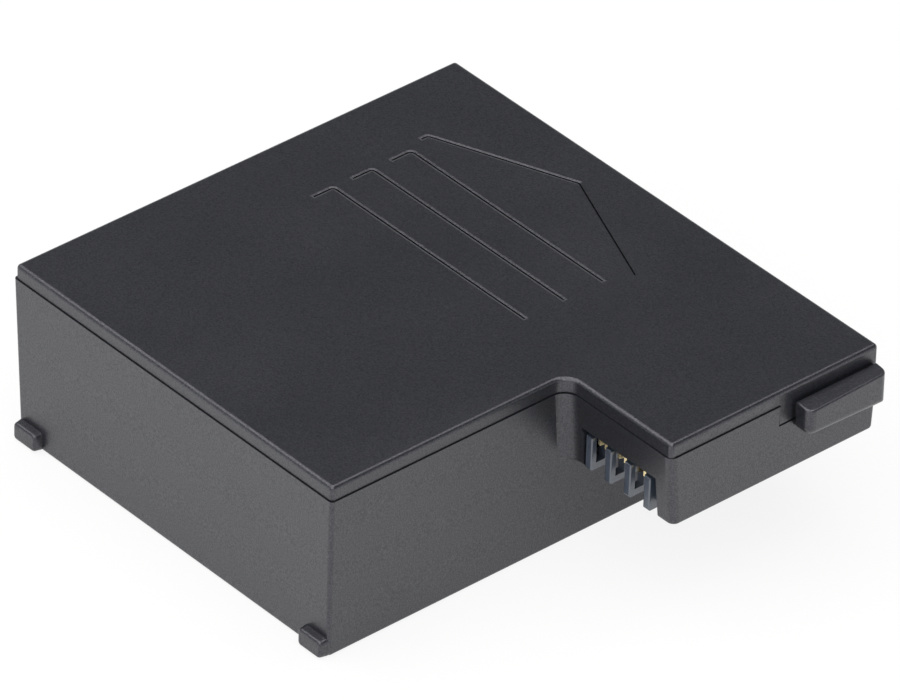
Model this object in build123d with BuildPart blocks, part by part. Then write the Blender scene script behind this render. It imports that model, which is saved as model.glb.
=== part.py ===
# Rechargeable pack for a small camera. A thick block holds the cell, and a thinner arm, flush
# with the block at the top, reaches out beside an open corner. The terminals sit in the arm's
# wall towards that corner. The origin is the centre of the block's underside, +X runs out along
# the arm and +Z is up. Sizes are in millimetres and angles in degrees.
import os
from math import radians, tan

from build123d import *

# Housing, measured at the seam under the cover
block_length = 31.9
block_width = 38.0
overall_height = 13.7
arm_reach = 10.05
arm_depth = 6.75
notch_width = 19.85
wall = 1.0
floor = 1.0
side_draft = 1.6
notch_draft = 6.0
block_corner = 0.3
arm_corner = 0.6
notch_corner = 1.2
cavity_corner = 0.8
underside_round = 0.3
blend_sink = 0.02
blend_run = 2.4

# Lugs low on the block's near side
lug_length = 2.4
lug_height = 1.5
lug_reach = 0.3
lug_draft = 10.0
lug_corner = 0.4
lug_round = 0.22

# Cover with its locating rim
cover_height = 1.1
cover_inset = 0.1
cover_corner = 0.3
cover_edge = 0.3
seam_gap = 0.05
seat_inset = 0.5
rim_depth = 0.8
rim_thickness = 0.8
rim_clearance = 0.12

# Stripes engraved in the cover
stripe_width = 0.12
stripe_depth = 0.26
stripe_flank = 0.15
stripe_lean = 16.0
stripe_length = 19.05
stripe_from_side = 6.35
stripe_from_back = 9.35
stripe_pitch = 3.37
stripe_count = 3
stripe_hook = 1.7
stripe_bend = 0.3
roof_from_back = 3.17
roof_from_side = 16.05
roof_slope = 22.0
roof_near_run = 10.35
roof_far_run = 10.2
roof_far_width = 0.12
roof_hook = 0.55
roof_bend = 0.3

# Finger lip, on a tongue of the cover let into the arm's end wall as far as its back corner
tongue_from_back = 8.6
tongue_depth = 1.5
tongue_gap = 0.1
lip_from_back = 7.4
lip_end_margin = 0.35
lip_near_reach = 1.42
lip_far_reach = 1.2
lip_drop = 0.32
lip_slope = 7.0
lip_near_depth = 2.36
lip_far_depth = 2.82
lip_corner = 0.7
lip_near_round = 0.6
lip_round = 0.15
lip_gap = 0.1

# Terminal comb in the window of the notch wall
window_offset = 1.3
window_drop = 2.4
window_slack = 0.8
contact_pitch = 1.87
tooth_width = 0.62
tooth_drop = 0.7
tooth_depth = 1.2
post_depth = 0.42
foot_height = 0.5
tooth_round = 0.12
slot_depth = 2.6
terminal_depth = 3.4
fit_gap = 0.05

# Fork contacts, one in each slot of the comb
contact_names = ["negative", "sense", "positive"]
contact_strip = 0.2
contact_height = 0.4
contact_setback = 0.35
contact_pinch = 0.2
contact_throat = 0.55
tail_width = 0.5
tail_stand = 0.4

# Circuit board in the arm, on two ribs and on the terminal comb
board_thickness = 0.8
board_clearance = 0.25
board_start = 0.2
rib_width = 1.2
rib_length = 2.0
rib_margin = 1.5

# Cell with its padding
cell_clearance = 0.2
cell_headroom = 0.2
cell_round = 1.2
cell_base_round = 0.6
tab_space = 0.95
rivet_radius = 1.6
rivet_height = 0.4
adhesive_thickness = 0.2
padding_margin = 2.5
insulator_thickness = 0.15
insulator_margin = 1.5
insulator_relief = 0.3

# Nickel strips from the cell to the plates on the board
tab_width = 3.0
tab_thickness = 0.15
tab_from_back = 3.4
tab_from_near = 4.0
weld_length = 1.6
weld_width = 3.2
weld_thickness = 0.3
weld_margin = 0.3

# Parts on the circuit board, and where they sit from its far edges
package_length = 2.9
package_width = 1.6
package_height = 1.1
package_draft = 7.0
lead_span = 2.8
lead_pitch = 0.95
lead_width = 0.4
lead_height = 0.5
lead_thickness = 0.15
lead_foot = 0.45
package_from_back = {"switch_transistor": 2.5, "protection_ic": 6.0}
chip_length = 1.0
chip_width = 0.5
chip_height = 0.35
chip_cap = 0.25
chip_cap_skin = 0.02
chip_margins = {
    "filter_resistor": (1.5, 8.2),
    "filter_capacitor": (3.1, 8.2),
    "thermistor": (1.5, 9.3),
    "identity_resistor": (3.1, 9.3),
}
parts_margin = 1.0

# Levels and faces that several pieces share
seam_height = overall_height - cover_height
arm_bottom = overall_height - arm_depth
arm_floor = arm_bottom + floor
back = block_width / 2
block_end = block_length / 2
arm_end = block_end + arm_reach
notch_y = notch_width - back
window_top = seam_height - window_drop
tooth_top = window_top - tooth_drop
board_bottom = window_top + fit_gap
board_top = board_bottom + board_thickness

# Places on the arm's walls, half way up, and the plane the walls are drafted from
arm_middle = (arm_bottom + seam_height) / 2
notch_middle = (block_end + arm_reach / 2, notch_y, arm_middle)
root_middle = (block_end - blend_sink, notch_y - blend_run / 2, arm_middle)
seam_plane = Plane(origin=(0, 0, seam_height), z_dir=(0, 0, -1))


def run_in(height, angle):
    # How far a drafted wall stands inside its seam outline at a height
    return (seam_height - height) * tan(radians(angle))


def plan_outline(inset):
    # Corners of the whole pack seen from above at the seam, moved inwards
    return [
        (-block_end + inset, -back + inset),
        (block_end - inset, -back + inset),
        (block_end - inset, notch_y + inset),
        (arm_end - inset, notch_y + inset),
        (arm_end - inset, back - inset),
        (-block_end + inset, back - inset),
    ]


# The terminal comb fills the window from its block side, with a dark gap left at its other side
slot_width = contact_pitch - tooth_width
slot_count = len(contact_names)
comb_width = slot_count * contact_pitch + tooth_width
comb_front = notch_y + run_in(arm_bottom, notch_draft)
comb_start = block_end + window_offset + fit_gap
comb_rear = comb_front + terminal_depth
window_width = comb_width + window_slack + 2 * fit_gap
slot_middles = [comb_start + tooth_width + slot_width / 2 + n * contact_pitch for n in range(slot_count)]
tail_y = comb_front + slot_depth - fit_gap - contact_strip / 2

board_near_edge = notch_y + wall + run_in(board_bottom, notch_draft) + board_clearance
board_back_edge = back - wall - board_clearance
board_root = block_end + board_start
board_end = arm_end - wall - board_clearance
tongue_start = back - tongue_from_back
tongue_end = back - cover_inset
tongue_face = arm_end - cover_inset
rim_inset = wall + rim_clearance
tongue_root = arm_end - rim_inset
rib_places = [board_root + rib_margin, board_end - rib_margin]

with BuildPart() as arm:
    # Its root lies just inside the block's end wall, which the notch wall blends into
    with BuildSketch(Plane.XY.offset(arm_bottom)):
        with BuildLine():
            Polyline(
                (0, notch_y - blend_run),
                (block_end - blend_sink, notch_y - blend_run),
                (block_end - blend_sink, notch_y),
                (arm_end, notch_y),
                (arm_end, back),
                (0, back),
                close=True,
            )
        make_face()
    extrude(amount=seam_height - arm_bottom)
    draft(arm.faces().sort_by_distance(notch_middle)[0], seam_plane, notch_draft)
    draft(arm.faces().sort_by_distance(root_middle)[0], seam_plane, side_draft)
    draft(arm.faces().sort_by(Axis.X)[-1], seam_plane, side_draft)
    draft(arm.faces().sort_by(Axis.Y)[-1], seam_plane, side_draft)
    fillet(arm.edges().sort_by_distance((arm_end, back, arm_middle))[0], block_corner)
    fillet(arm.edges().sort_by_distance((arm_end, notch_y, arm_middle))[0], arm_corner)
    fillet(arm.edges().sort_by_distance((block_end, notch_y, arm_middle))[0], notch_corner)
    arm_underside = arm.edges().group_by(Axis.Z)[0]
    fillet(arm_underside.filter_by(lambda e: e.center().Y > notch_y and e.center().X > wall), underside_round)

with BuildPart() as arm_hollow:
    with BuildSketch(Plane.XY.offset(arm_floor)):
        with Locations((0, notch_y + wall)):
            Rectangle(arm_end - wall, back - notch_y - 2 * wall, align=(Align.MIN, Align.MIN))
    extrude(amount=seam_height - arm_floor)
    draft(arm_hollow.faces().sort_by(Axis.Y)[0], seam_plane, notch_draft)
    draft(arm_hollow.faces().sort_by(Axis.X)[-1], seam_plane, side_draft)
    draft(arm_hollow.faces().sort_by(Axis.Y)[-1], seam_plane, side_draft)

with BuildPart() as block_hollow:
    with BuildSketch(Plane.XY.offset(floor)):
        Rectangle(block_length - 2 * wall, block_width - 2 * wall)
    extrude(amount=seam_height - floor)
    draft(block_hollow.faces().group_by(Axis.Z)[1], seam_plane, side_draft)
    fillet(block_hollow.edges().group_by(Axis.Z)[1], cavity_corner)

with BuildPart() as block:
    with BuildSketch():
        Rectangle(block_length, block_width)
    extrude(amount=seam_height)
    draft(block.faces().group_by(Axis.Z)[1], seam_plane, side_draft)
    fillet(block.edges().group_by(Axis.Z)[1], block_corner)
    fillet(block.edges().group_by(Axis.Z)[0], underside_round)

    # Lugs at the two lower corners of the near side
    lug_x = block_end - run_in(0, side_draft) - lug_length / 2
    lug_base = back - run_in(0, side_draft)
    with BuildSketch(Plane.XZ.offset(lug_base)) as lug_outlines:
        with Locations((-lug_x, lug_height / 2), (lug_x, lug_height / 2)):
            RectangleRounded(lug_length, lug_height, lug_corner)
    extrude(amount=back + lug_reach - lug_base, taper=lug_draft)
    extrude(lug_outlines.sketch, amount=-wall / 2)
    fillet(block.edges().group_by(Axis.Y)[0], lug_round)

with BuildPart() as housing:
    add(block.part)
    add(arm.part)
    add(block_hollow.part, mode=Mode.SUBTRACT)
    add(arm_hollow.part, mode=Mode.SUBTRACT)

    # Window for the terminals, open towards the notch and the underside
    window_front = notch_y - wall
    window_rear = comb_rear + fit_gap
    with BuildSketch(Plane.XY.offset(window_top)):
        with Locations((block_end + window_offset, window_front)):
            Rectangle(window_width, window_rear - window_front, align=(Align.MIN, Align.MIN))
    extrude(amount=arm_bottom - floor - window_top, mode=Mode.SUBTRACT)

    # Cut-out for the cover's tongue, open past the end wall and the back wall
    cutout_x = tongue_root - tongue_gap
    cutout_y = tongue_start - tongue_gap
    with BuildSketch(Plane.XY.offset(seam_height)):
        with Locations((cutout_x, cutout_y)):
            Rectangle(arm_end + wall - cutout_x, back + wall - cutout_y, align=(Align.MIN, Align.MIN))
    extrude(amount=-tongue_depth - tongue_gap, mode=Mode.SUBTRACT)

    # Ribs under the circuit board, on the arm's floor and back wall
    with BuildSketch(Plane.XY.offset(arm_bottom + floor / 2)):
        with Locations(*[(x, back - wall / 2) for x in rib_places]):
            Rectangle(rib_width, rib_length + wall / 2, align=(Align.CENTER, Align.MAX))
    extrude(amount=board_bottom - arm_bottom - floor / 2)
housing.part.label = "housing"

with BuildPart() as lip:
    # Wedge in front of the tongue: deeper and flatter towards its far end
    lip_start = back - lip_from_back
    lip_end = back - lip_end_margin
    lip_top = seam_height - lip_drop
    lip_root = lip_top + lip_near_reach * tan(radians(lip_slope))
    lip_outline = [
        (lip_start, lip_root),
        (lip_end, lip_root),
        (lip_end, seam_height - lip_far_depth),
        (lip_start, seam_height - lip_near_depth),
    ]
    with BuildSketch(Plane.YZ.offset(arm_end + lip_gap)):
        with BuildLine():
            FilletPolyline(*lip_outline, radius=[0, 0, lip_round, lip_corner], close=True)
        make_face()
    extrude(amount=lip_near_reach)
    lip_across = Vector(lip_far_reach - lip_near_reach, lip_end - lip_start, 0)
    lip_outer = Plane(
        origin=(arm_end + lip_near_reach, lip_start, lip_top),
        x_dir=lip_across,
        z_dir=lip_across.cross(Vector(0, 0, 1)),
    )
    split(bisect_by=lip_outer, keep=Keep.BOTTOM)
    lip_upper = Plane(
        origin=(arm_end + lip_near_reach, lip_start, lip_top),
        x_dir=(0, 1, 0),
        z_dir=(tan(radians(lip_slope)), 0, 1),
    )
    split(bisect_by=lip_upper, keep=Keep.BOTTOM)
    lip_outer_edges = lip.faces().sort_by(Axis.X)[-1].edges()
    fillet(lip_outer_edges.sort_by(Axis.Y)[0], lip_near_round)
    fillet(lip.faces().sort_by(Axis.X)[-1].edges(), lip_round)

with BuildPart() as top_cover:
    # Plate, standing a hair off the housing's edge so that the seam shows
    with BuildSketch(Plane.XY.offset(seam_height + seam_gap)):
        with BuildLine():
            cover_radii = [cover_corner] * 6
            cover_radii[2] = notch_corner
            FilletPolyline(*plan_outline(cover_inset), radius=cover_radii, close=True)
        make_face()
    extrude(amount=cover_height - seam_gap)
    fillet(top_cover.edges().group_by(Axis.Z)[-1], cover_edge)

    # Seat on the housing's edge, and the rim that locates the cover inside its walls
    with BuildSketch(Plane.XY.offset(seam_height)):
        with BuildLine():
            Polyline(*plan_outline(seat_inset), close=True)
        make_face()
    extrude(amount=seam_gap)
    with BuildSketch(Plane.XY.offset(seam_height)):
        with BuildLine():
            rim_radii = [cavity_corner, cavity_corner, 0, cavity_corner, cavity_corner, cavity_corner]
            FilletPolyline(*plan_outline(rim_inset), radius=rim_radii, close=True)
        make_face()
        with BuildLine():
            Polyline(*plan_outline(rim_inset + rim_thickness), close=True)
        make_face(mode=Mode.SUBTRACT)
    extrude(amount=-rim_depth)

    # Tongue in the end wall, and the neck that carries the finger lip
    tongue_corners = [
        (tongue_root, tongue_start),
        (tongue_face, tongue_start),
        (tongue_face, tongue_end),
        (tongue_root, tongue_end),
    ]
    with BuildSketch(Plane.XY.offset(seam_height - tongue_depth)):
        with BuildLine():
            FilletPolyline(*tongue_corners, radius=[0, 0, cover_corner, 0], close=True)
        make_face()
    extrude(amount=tongue_depth + seam_gap)
    neck_length = lip_end - lip_start - 2 * lip_round
    with BuildSketch(Plane.YZ.offset(tongue_face)):
        with Locations((lip_start + lip_round, lip_top)):
            Rectangle(neck_length, tongue_depth - lip_drop, align=(Align.MIN, Align.MAX))
    extrude(amount=arm_end + lip_gap - tongue_face)
    add(lip.part)

    # Plain stripes: parallel hooked lines and one bent line along the back
    stripe_x = stripe_from_side - block_end
    roof_x = roof_from_side - block_end
    roof_y = back - roof_from_back
    roof_rise = tan(radians(roof_slope))
    roof_start = (roof_x - roof_near_run, roof_y - roof_near_run * roof_rise)
    with BuildSketch(Plane.XY.offset(overall_height)):
        for n in range(stripe_count):
            stripe_y = back - stripe_from_back - n * stripe_pitch
            with BuildLine():
                FilletPolyline(
                    (stripe_x, stripe_y - stripe_hook),
                    (stripe_x, stripe_y),
                    (stripe_x + stripe_length, stripe_y),
                    radius=stripe_bend,
                )
            trace(line_width=stripe_width)
        with BuildLine():
            FilletPolyline(
                (roof_start[0], roof_start[1] - roof_hook),
                roof_start,
                (roof_x, roof_y),
                radius=roof_bend,
            )
        trace(line_width=stripe_width)
    extrude(amount=-stripe_depth, mode=Mode.SUBTRACT)
    top_face = top_cover.faces().filter_by(Axis.Z).sort_by(Axis.Z)[-1]
    stripe_rims = [edge for wire in top_face.inner_wires() for edge in wire.edges()]
    chamfer(stripe_rims, stripe_flank, angle=stripe_lean, reference=top_face)
    with BuildSketch(Plane.XY.offset(overall_height)):
        with BuildLine():
            Line((roof_x, roof_y), (roof_x + roof_far_run, roof_y - roof_far_run * roof_rise))
        trace(line_width=roof_far_width)
    extrude(amount=-stripe_depth, mode=Mode.SUBTRACT)
top_cover.part.label = "top_cover"

with BuildPart() as terminal_block:
    # Body behind the comb, from the arm's underside up to the circuit board
    with BuildSketch(Plane.XY.offset(arm_bottom)):
        with Locations((comb_start, comb_front + tooth_depth)):
            Rectangle(comb_width + window_slack, terminal_depth - tooth_depth, align=(Align.MIN, Align.MIN))
    extrude(amount=board_bottom - arm_bottom)
    with BuildSketch(Plane.XY.offset(arm_bottom)):
        with Locations((comb_start, comb_front)):
            Rectangle(comb_width, tooth_depth, align=(Align.MIN, Align.MIN))
    extrude(amount=tooth_top - arm_bottom)

    # Channel across all the teeth but the end one, behind their posts and over their feet
    with BuildSketch(Plane.XY.offset(arm_bottom + foot_height)):
        with Locations((comb_start, comb_front + post_depth)):
            Rectangle(comb_width - tooth_width, tooth_depth - post_depth, align=(Align.MIN, Align.MIN))
    extrude(amount=tooth_top - arm_bottom - foot_height, mode=Mode.SUBTRACT)

    # Slots that the camera's blades slide into, open to the front and below
    with BuildSketch(Plane.XY.offset(arm_bottom)):
        with Locations(*[(x, comb_front) for x in slot_middles]):
            Rectangle(slot_width, slot_depth, align=(Align.CENTER, Align.MIN))
    extrude(amount=tooth_top - arm_bottom, mode=Mode.SUBTRACT)

    # Passages for the contacts' tails
    with BuildSketch(Plane.XY.offset(arm_bottom)):
        with Locations(*[(x, tail_y) for x in slot_middles]):
            Rectangle(tail_width + 2 * fit_gap, contact_strip + 2 * fit_gap)
    extrude(amount=board_bottom - arm_bottom, mode=Mode.SUBTRACT)
    fillet(terminal_block.faces().sort_by(Axis.Y)[: slot_count + 1].edges(), tooth_round)
terminal_block.part.label = "terminal_block"

contacts = {}
for name, slot_x in zip(contact_names, slot_middles):
    contact_node = "contact_" + name
    with BuildPart() as contact:
        # Strip folded to a fork: a bridge at the back and two leaves that pinch near their tips
        fork_half = slot_width / 2 - fit_gap - contact_strip / 2
        pinch_half = (contact_pinch + contact_strip) / 2
        tip_y = comb_front + contact_setback
        throat_y = tip_y + contact_throat
        tip_half = (fork_half + pinch_half) / 2
        contact_top = tooth_top - fit_gap
        with BuildSketch(Plane.XY.offset(contact_top)):
            with BuildLine():
                Polyline(
                    (slot_x - tip_half, tip_y),
                    (slot_x - pinch_half, throat_y),
                    (slot_x - fork_half, tail_y),
                    (slot_x + fork_half, tail_y),
                    (slot_x + pinch_half, throat_y),
                    (slot_x + tip_half, tip_y),
                )
            trace(line_width=contact_strip)
        extrude(amount=-contact_height)

        # Tail up through the comb and the board
        with BuildSketch(Plane.XY.offset(contact_top - contact_height)):
            with Locations((slot_x, tail_y)):
                Rectangle(tail_width, contact_strip)
        extrude(amount=board_top + tail_stand - contact_top + contact_height)
    contact.part.label = contact_node
    contacts[contact_node] = contact.part

with BuildPart() as circuit_board:
    with BuildSketch(Plane.XY.offset(board_bottom)):
        with Locations((board_root, board_near_edge)):
            Rectangle(
                board_end - board_root,
                board_back_edge - board_near_edge,
                align=(Align.MIN, Align.MIN),
            )
        with Locations(*[(x, tail_y) for x in slot_middles]):
            Circle(tail_width / 2 + fit_gap + contact_strip / 4, mode=Mode.SUBTRACT)
    extrude(amount=board_thickness)
circuit_board.part.label = "circuit_board"

# The cell lies on its padding between the housing's floor and the cover's rim
cell_half_space = block_end - wall - run_in(floor, side_draft)
cell_start = -cell_half_space + cell_clearance
cell_end = cell_half_space - tab_space
cell_length = cell_end - cell_start
cell_width = block_width - 2 * (wall + run_in(floor, side_draft) + cell_clearance)
cell_bottom = floor + adhesive_thickness
cell_top = seam_height - rim_depth - cell_headroom
cell_height = cell_top - cell_bottom
cell_middle = (cell_bottom + cell_top) / 2

with BuildPart() as cell:
    with BuildSketch(Plane.YZ.offset(cell_start)):
        with Locations((0, cell_middle)):
            RectangleRounded(cell_width, cell_height, cell_round)
    extrude(amount=cell_length)
    fillet(cell.faces().sort_by(Axis.X)[0].edges(), cell_base_round)
    with BuildSketch(Plane.YZ.offset(cell_end)):
        with Locations((0, cell_middle)):
            Circle(rivet_radius)
    extrude(amount=rivet_height)
cell.part.label = "cell"

padding = {}
for pad_node, low, high in (("adhesive_pad", floor, cell_bottom), ("foam_pad", cell_top, seam_height)):
    with BuildPart() as pad:
        with BuildSketch(Plane.XY.offset(low)):
            with Locations(((cell_start + cell_end) / 2, 0)):
                Rectangle(cell_length - 2 * padding_margin, cell_width - 2 * padding_margin)
        extrude(amount=high - low)
    pad.part.label = pad_node
    padding[pad_node] = pad.part

# Strips: the far one is welded to the can, the near one to the rivet in the can's middle
tab_far_y = board_back_edge - tab_from_back
tab_near_y = board_near_edge + tab_from_near
weld_start = board_root + weld_margin
flange_bottom = board_top + weld_thickness
tab_welds = {
    "negative": (tab_near_y, 0, cell_end + rivet_height),
    "positive": (tab_far_y, tab_far_y, cell_end),
}

with BuildPart() as end_insulator:
    with BuildSketch(Plane.YZ.offset(cell_end)):
        with Locations((0, cell_middle)):
            Rectangle(cell_width - 2 * insulator_margin, cell_height - 2 * insulator_margin)
            Circle(rivet_radius + insulator_relief, mode=Mode.SUBTRACT)
        with Locations((tab_far_y, cell_middle - tab_width / 2 - insulator_relief)):
            Rectangle(
                tab_width + 2 * insulator_relief,
                cell_height,
                align=(Align.CENTER, Align.MIN),
                mode=Mode.SUBTRACT,
            )
    extrude(amount=insulator_thickness)
end_insulator.part.label = "end_insulator"

strips = {}
for name, (strip_y, weld_y, strip_x) in tab_welds.items():
    tab_node = "tab_" + name
    with BuildPart() as tab:
        # Leaf along the cell's end and up it, then folded over onto the board's plate
        leaf_length = abs(strip_y - weld_y) + tab_width
        with BuildSketch(Plane.YZ.offset(strip_x)):
            with Locations(((strip_y + weld_y) / 2, cell_middle)):
                Rectangle(leaf_length, tab_width)
            with Locations((strip_y, cell_middle)):
                Rectangle(
                    tab_width,
                    flange_bottom + tab_thickness - cell_middle,
                    align=(Align.CENTER, Align.MIN),
                )
        extrude(amount=tab_thickness)
        with BuildSketch(Plane.XY.offset(flange_bottom)):
            with Locations((strip_x, strip_y)):
                Rectangle(weld_start + weld_length - strip_x, tab_width, align=(Align.MIN, Align.CENTER))
        extrude(amount=tab_thickness)
    tab.part.label = tab_node
    strips[tab_node] = tab.part

    weld_node = "weld_pad_" + name
    with BuildPart() as weld_pad:
        with BuildSketch(Plane.XY.offset(board_top)):
            with Locations((weld_start, strip_y)):
                Rectangle(weld_length, weld_width, align=(Align.MIN, Align.CENTER))
        extrude(amount=weld_thickness)
    weld_pad.part.label = weld_node
    strips[weld_node] = weld_pad.part

packages = {}
for package_node, from_back in package_from_back.items():
    package_x = board_end - parts_margin - lead_span / 2
    package_y = board_back_edge - from_back
    with BuildPart() as package:
        # Moulded body on bent leads, three to a side
        body_height = package_height - lead_thickness
        with BuildSketch(Plane.XY.offset(board_top + lead_thickness)):
            with Locations((package_x, package_y)):
                Rectangle(package_width, package_length)
        extrude(amount=body_height, taper=package_draft)
        lead_foot_x = lead_span / 2 - lead_foot / 2
        lead_places = [(package_x, package_y + n * lead_pitch) for n in (-1, 0, 1)]
        with BuildSketch(Plane.XY.offset(board_top)):
            with Locations(*lead_places):
                with Locations((-lead_foot_x, 0), (lead_foot_x, 0)):
                    Rectangle(lead_foot, lead_width)
        extrude(amount=lead_height)
        with BuildSketch(Plane.XY.offset(board_top + lead_height - lead_thickness)):
            with Locations(*lead_places):
                Rectangle(lead_span - lead_foot, lead_width)
        extrude(amount=lead_thickness)
    package.part.label = package_node
    packages[package_node] = package.part

chips = {}
for chip_node, (from_end, from_back) in chip_margins.items():
    chip_place = (board_end - from_end, board_back_edge - from_back)
    with BuildPart() as chip:
        # Ceramic body with a plated cap over each end
        with BuildSketch(Plane.XY.offset(board_top)):
            with Locations(chip_place):
                Rectangle(chip_length, chip_width)
        extrude(amount=chip_height)
        with BuildSketch(Plane.XY.offset(board_top)):
            with Locations(chip_place):
                with GridLocations(chip_length - chip_cap, 0, 2, 1):
                    Rectangle(chip_cap, chip_width + 2 * chip_cap_skin)
        extrude(amount=chip_height + chip_cap_skin)
    chip.part.label = chip_node
    chips[chip_node] = chip.part

os.makedirs("parts", exist_ok=True)
export_step(housing.part, "parts/housing.step")
export_step(top_cover.part, "parts/top_cover.step")
export_step(terminal_block.part, "parts/terminal_block.step")
export_step(circuit_board.part, "parts/circuit_board.step")
export_step(cell.part, "parts/cell.step")
export_step(end_insulator.part, "parts/end_insulator.step")
for group in (contacts, padding, strips, packages, chips):
    for node, solid in group.items():
        export_step(solid, "parts/" + node + ".step")
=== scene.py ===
import bpy
from math import radians
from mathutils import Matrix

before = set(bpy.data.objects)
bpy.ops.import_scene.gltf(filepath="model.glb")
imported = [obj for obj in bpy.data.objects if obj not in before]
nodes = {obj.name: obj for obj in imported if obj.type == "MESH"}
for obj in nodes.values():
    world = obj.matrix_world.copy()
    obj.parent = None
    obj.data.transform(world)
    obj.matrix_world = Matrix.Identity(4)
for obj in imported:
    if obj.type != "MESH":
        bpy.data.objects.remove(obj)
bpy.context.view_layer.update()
bpy.ops.object.select_all(action='DESELECT')
print("pack loaded:", len(nodes), "nodes")


def linearColour(hexCode):  # sRGB hex to the linear colour that the sockets take
    channels = [int(hexCode[i:i + 2], 16) / 255 for i in (1, 3, 5)]
    return [c / 12.92 if c <= 0.04045 else ((c + 0.055) / 1.055) ** 2.4 for c in channels] + [1.0]


def perMm(size):  # texture scale that repeats about every so many millimetres
    return 1000.0 / size


def spreadNoise(low, high):  # Map Range settings that stretch the middle of a noise to a range
    return {"From Min": 0.3, "From Max": 0.7, "To Min": low, "To Max": high}


def addNode(tree, kind, settings=None, links=None):  # one node, with its settings and what feeds it
    node = tree.nodes.new(kind)
    for key, value in (settings or {}).items():
        if isinstance(key, str) and hasattr(node, key):
            setattr(node, key, value)
        else:
            node.inputs[key].default_value = value
    for key, socket in (links or {}).items():
        tree.links.new(socket, node.inputs[key])
    return node


def newMaterial(name):  # empty material with its shader, its output and Object coordinates
    material = bpy.data.materials.new(name)
    material.use_nodes = True
    tree = material.node_tree
    tree.nodes.clear()
    shader = addNode(tree, "ShaderNodeBsdfPrincipled")
    addNode(tree, "ShaderNodeOutputMaterial", None, {"Surface": shader.outputs["BSDF"]})
    coords = addNode(tree, "ShaderNodeTexCoord")
    return material, tree, shader, coords.outputs["Object"]


def dress(material, *names):  # give CAD nodes their finish
    for name in names:
        slots = nodes[name].data.materials
        slots.clear()
        slots.append(material)


# PC-ABS, moulded in a spark-eroded tool: near black, matt, with a fine even grain that sparkles a little.
# The flecks are drawn coarser than the grain so that they show. Sizes and depths are in millimetres, and
# sockets 6 and 7 of a Mix node are its two colours
shellLook = {"colour": "#18191d", "fleck": "#2a2b2f", "fleckSize": 0.2, "fleckSpan": (0.52, 0.78),
             "grain": 0.11, "bump": 0.55, "depth": 0.02, "cloud": 9.0, "rough": (0.28, 0.32),
             "specular": (0.54, 1.08), "ior": 1.56, "tint": "#f7f6ff"}


def mouldedShell(name, look):
    material, tree, shader, place = newMaterial(name)
    grain = addNode(tree, "ShaderNodeTexNoise", {"Scale": perMm(look["grain"]), "Detail": 2.0},
                    {"Vector": place})
    flecks = addNode(tree, "ShaderNodeTexNoise",
                     {"Scale": perMm(look["fleckSize"]), "Detail": 3.0, "Roughness": 0.7},
                     {"Vector": place})
    fleckMask = addNode(tree, "ShaderNodeMapRange",
                        {"From Min": look["fleckSpan"][0], "From Max": look["fleckSpan"][1]},
                        {"Value": flecks.outputs["Fac"]})
    tint = addNode(tree, "ShaderNodeMix",
                   {"data_type": 'RGBA', 6: linearColour(look["colour"]), 7: linearColour(look["fleck"])},
                   {0: fleckMask.outputs["Result"]})
    cloud = addNode(tree, "ShaderNodeTexNoise", {"Scale": perMm(look["cloud"]), "Detail": 2.0},
                    {"Vector": place})
    gloss = addNode(tree, "ShaderNodeMapRange", spreadNoise(*look["rough"]), {"Value": cloud.outputs["Fac"]})
    shine = addNode(tree, "ShaderNodeMapRange", spreadNoise(*look["specular"]),
                    {"Value": grain.outputs["Fac"]})
    relief = addNode(tree, "ShaderNodeBump", {"Strength": look["bump"], "Distance": look["depth"] / 1000},
                     {"Height": grain.outputs["Fac"]})
    tree.links.new(tint.outputs[2], shader.inputs["Base Color"])
    tree.links.new(gloss.outputs["Result"], shader.inputs["Roughness"])
    tree.links.new(shine.outputs["Result"], shader.inputs["Specular IOR Level"])
    tree.links.new(relief.outputs["Normal"], shader.inputs["Normal"])
    shader.inputs["IOR"].default_value = look["ior"]
    shader.inputs["Specular Tint"].default_value = linearColour(look["tint"])
    return material


dress(mouldedShell("pcAbsMouldedHousing", shellLook), "housing")
dress(mouldedShell("pcAbsMouldedCover", shellLook), "top_cover")
print("shell finished")

# PBT, moulded in a polished tool: dark blue-grey, smoother than the shell, faint flow marks
combLook = {"colour": "#363d49", "flow": "#464e5b", "flowSize": 0.9, "swirl": 0.6, "rough": 0.24,
            "specular": 1.3}
material, tree, shader, place = newMaterial("pbtMouldedComb")
flow = addNode(tree, "ShaderNodeTexNoise",
               {"Scale": perMm(combLook["flowSize"]), "Detail": 4.0, "Distortion": combLook["swirl"]},
               {"Vector": place})
tint = addNode(tree, "ShaderNodeMix",
               {"data_type": 'RGBA', 6: linearColour(combLook["colour"]), 7: linearColour(combLook["flow"])},
               {0: flow.outputs["Fac"]})
tree.links.new(tint.outputs[2], shader.inputs["Base Color"])
shader.inputs["Roughness"].default_value = combLook["rough"]
shader.inputs["Specular IOR Level"].default_value = combLook["specular"]
dress(material, "terminal_block")

# Copper alloy, stamped and gold plated: warm metal with faint rolling lines, stretched upwards
goldLook = {"colour": "#f2dfae", "line": 0.12, "along": (1.0, 1.0, 0.08), "rough": (0.16, 0.26)}
material, tree, shader, place = newMaterial("copperAlloyGoldPlated")
stretch = addNode(tree, "ShaderNodeMapping", {"Scale": goldLook["along"]}, {"Vector": place})
lines = addNode(tree, "ShaderNodeTexNoise", {"Scale": perMm(goldLook["line"]), "Detail": 2.0},
                {"Vector": stretch.outputs["Vector"]})
gloss = addNode(tree, "ShaderNodeMapRange", spreadNoise(*goldLook["rough"]), {"Value": lines.outputs["Fac"]})
tree.links.new(gloss.outputs["Result"], shader.inputs["Roughness"])
shader.inputs["Base Color"].default_value = linearColour(goldLook["colour"])
shader.inputs["Metallic"].default_value = 1.0
dress(material, "contact_negative", "contact_sense", "contact_positive")
print("terminals finished")

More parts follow.
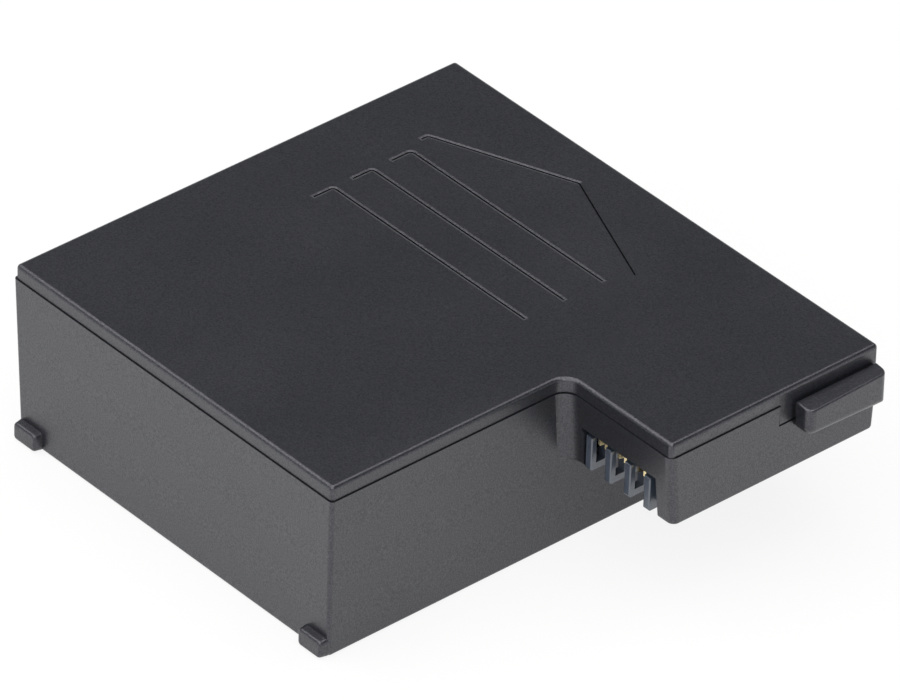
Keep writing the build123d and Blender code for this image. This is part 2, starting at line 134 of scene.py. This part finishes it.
# Metals inside: drawn aluminium can, rolled nickel strip and plate, with lines the way each was worked
metalRelief = {"bump": 0.15, "depth": 0.01}
metalLooks = {
    "aluminiumDrawnCan": {"colour": "#c9cbcd", "line": 0.25, "along": (0.05, 1.0, 1.0), "rough": (0.3, 0.42),
                          "on": ("cell",)},
    "nickelRolledStrip": {"colour": "#cdc8bd", "line": 0.15, "along": (1.0, 1.0, 0.06), "rough": (0.24, 0.36),
                          "on": ("tab_negative", "tab_positive")},
    "nickelSolderedPlate": {"colour": "#d3d0c8", "line": 0.2, "along": (1.0, 0.06, 1.0), "rough": (0.2, 0.34),
                            "on": ("weld_pad_negative", "weld_pad_positive")},
}
for name, look in metalLooks.items():
    material, tree, shader, place = newMaterial(name)
    stretch = addNode(tree, "ShaderNodeMapping", {"Scale": look["along"]}, {"Vector": place})
    lines = addNode(tree, "ShaderNodeTexNoise", {"Scale": perMm(look["line"]), "Detail": 3.0},
                    {"Vector": stretch.outputs["Vector"]})
    gloss = addNode(tree, "ShaderNodeMapRange", spreadNoise(*look["rough"]), {"Value": lines.outputs["Fac"]})
    relief = addNode(tree, "ShaderNodeBump",
                     {"Strength": metalRelief["bump"], "Distance": metalRelief["depth"] / 1000},
                     {"Height": lines.outputs["Fac"]})
    tree.links.new(gloss.outputs["Result"], shader.inputs["Roughness"])
    tree.links.new(relief.outputs["Normal"], shader.inputs["Normal"])
    shader.inputs["Base Color"].default_value = linearColour(look["colour"])
    shader.inputs["Metallic"].default_value = 1.0
    dress(material, *look["on"])

# Soft and dull things inside: film, foam, fibre paper, board, moulded epoxy, fired ceramics
dullBump = 0.5
dullLooks = {
    "acrylicFilmCoated": {"colour": "#e4e3dd", "mark": "#d3d2ca", "size": 1.2, "rough": 0.55,
                          "depth": 0.01, "on": ("adhesive_pad",)},
    "polyurethaneFoamCut": {"colour": "#2b2b2c", "mark": "#171718", "size": 0.35, "rough": 0.92,
                            "depth": 0.12, "on": ("foam_pad",)},
    "fibrePaperPressed": {"colour": "#9fae97", "mark": "#8b9a84", "size": 0.6, "rough": 0.8,
                          "depth": 0.02, "on": ("end_insulator",)},
    "glassEpoxyBoardMasked": {"colour": "#1f5a36", "mark": "#2a6b43", "size": 0.8, "rough": 0.32,
                              "depth": 0.008, "on": ("circuit_board",)},
    "epoxyMouldedPackage": {"colour": "#1c1c1d", "mark": "#28282a", "size": 0.12, "rough": 0.6,
                            "depth": 0.01, "on": ("protection_ic", "switch_transistor")},
    "aluminaGlazedChip": {"colour": "#202124", "mark": "#2c2d31", "size": 0.2, "rough": 0.25,
                          "depth": 0.004, "on": ("thermistor", "identity_resistor", "filter_resistor")},
    "bariumTitanateFiredChip": {"colour": "#a58461", "mark": "#8f7050", "size": 0.15, "rough": 0.5,
                                "depth": 0.006, "on": ("filter_capacitor",)},
}
for name, look in dullLooks.items():
    material, tree, shader, place = newMaterial(name)
    marks = addNode(tree, "ShaderNodeTexNoise", {"Scale": perMm(look["size"]), "Detail": 4.0},
                    {"Vector": place})
    tint = addNode(tree, "ShaderNodeMix",
                   {"data_type": 'RGBA', 6: linearColour(look["colour"]), 7: linearColour(look["mark"])},
                   {0: marks.outputs["Fac"]})
    relief = addNode(tree, "ShaderNodeBump", {"Strength": dullBump, "Distance": look["depth"] / 1000},
                     {"Height": marks.outputs["Fac"]})
    tree.links.new(tint.outputs[2], shader.inputs["Base Color"])
    tree.links.new(relief.outputs["Normal"], shader.inputs["Normal"])
    shader.inputs["Roughness"].default_value = look["rough"]
    dress(material, *look["on"])
print("inside finished")

# Floor: white paper sweep, a hair under the pack. The camera sees it nearly white with its shadow, and
# reflections see half of its shading
floorLook = {"size": 3.0, "drop": 0.02, "colour": "#f2f2f0", "rough": 0.9, "specular": 0.1, "white": 0.86,
             "glossWhite": 0.55}
bpy.ops.mesh.primitive_plane_add(size=floorLook["size"], location=(0, 0, -floorLook["drop"] / 1000))
floor = bpy.context.active_object
floor.name = "paperFloor"
material, tree, shader, place = newMaterial("paperSweepWhite")
shader.inputs["Base Color"].default_value = linearColour(floorLook["colour"])
shader.inputs["Roughness"].default_value = floorLook["rough"]
shader.inputs["Specular IOR Level"].default_value = floorLook["specular"]
path = addNode(tree, "ShaderNodeLightPath")
direct = addNode(tree, "ShaderNodeMath", {"operation": 'MULTIPLY', 1: floorLook["white"]},
                 {0: path.outputs["Is Camera Ray"]})
mirrored = addNode(tree, "ShaderNodeMath", {"operation": 'MULTIPLY', 1: floorLook["glossWhite"]},
                   {0: path.outputs["Is Glossy Ray"]})
share = addNode(tree, "ShaderNodeMath", {"operation": 'ADD'}, {0: direct.outputs[0], 1: mirrored.outputs[0]})
glow = addNode(tree, "ShaderNodeEmission", {"Color": (1, 1, 1, 1), "Strength": 1.0})
blend = addNode(tree, "ShaderNodeMixShader", None,
                {0: share.outputs[0], 1: shader.outputs["BSDF"], 2: glow.outputs["Emission"]})
tree.links.new(blend.outputs[0], tree.nodes["Material Output"].inputs["Surface"])
floor.data.materials.append(material)
print("floor laid")

# Room that is white near the floor, as a paper sweep is, and fades to a dark ceiling
roomLook = {"colour": "#e9ebee", "low": 1.1, "high": 0.06, "from": 0.0, "to": 0.62}
world = bpy.data.worlds.new("paperSweepRoom")
bpy.context.scene.world = world
world.use_nodes = True
tree = world.node_tree
coords = addNode(tree, "ShaderNodeTexCoord")
axes = addNode(tree, "ShaderNodeSeparateXYZ", None, {0: coords.outputs["Generated"]})
level = addNode(tree, "ShaderNodeMapRange",
                {"From Min": roomLook["from"], "From Max": roomLook["to"],
                 "To Min": roomLook["low"], "To Max": roomLook["high"]},
                {"Value": axes.outputs["Z"]})
background = tree.nodes["Background"]
background.inputs["Color"].default_value = linearColour(roomLook["colour"])
tree.links.new(level.outputs["Result"], background.inputs["Strength"])

# One large softbox overhead, turned to face the camera: the lit floor gives the sides their shine, the
# rounded edges mirror the box and the top mirrors the dim part of the room
boxLook = {"at": (0.22, -0.55, 0.6), "turn": 45, "size": (1.3, 1.92), "watts": 15.6}
bpy.ops.object.light_add(type='AREA', location=boxLook["at"], rotation=(0, 0, radians(boxLook["turn"])))
lamp = bpy.context.active_object
lamp.name = "highBox"
lamp.data.shape = 'RECTANGLE'
lamp.data.size, lamp.data.size_y = boxLook["size"]
lamp.data.energy = boxLook["watts"]
print("stage lit")

# Camera as the photograph was taken: long lens, looking down on the open corner, turned a little
cameraLook = {"at": (0.468105, -0.417105, 0.454395), "turn": (54.4954, -1.5814, 49.0845), "lens": 471.68,
              "sensor": 36.0, "nearest": 0.01}
bpy.ops.object.camera_add(location=cameraLook["at"], rotation=[radians(a) for a in cameraLook["turn"]])
camera = bpy.context.active_object
camera.data.sensor_fit = 'HORIZONTAL'
camera.data.sensor_width = cameraLook["sensor"]
camera.data.lens = cameraLook["lens"]
camera.data.clip_start = cameraLook["nearest"]
bpy.context.scene.camera = camera
bpy.context.scene.view_settings.view_transform = 'Standard'
print("camera set")
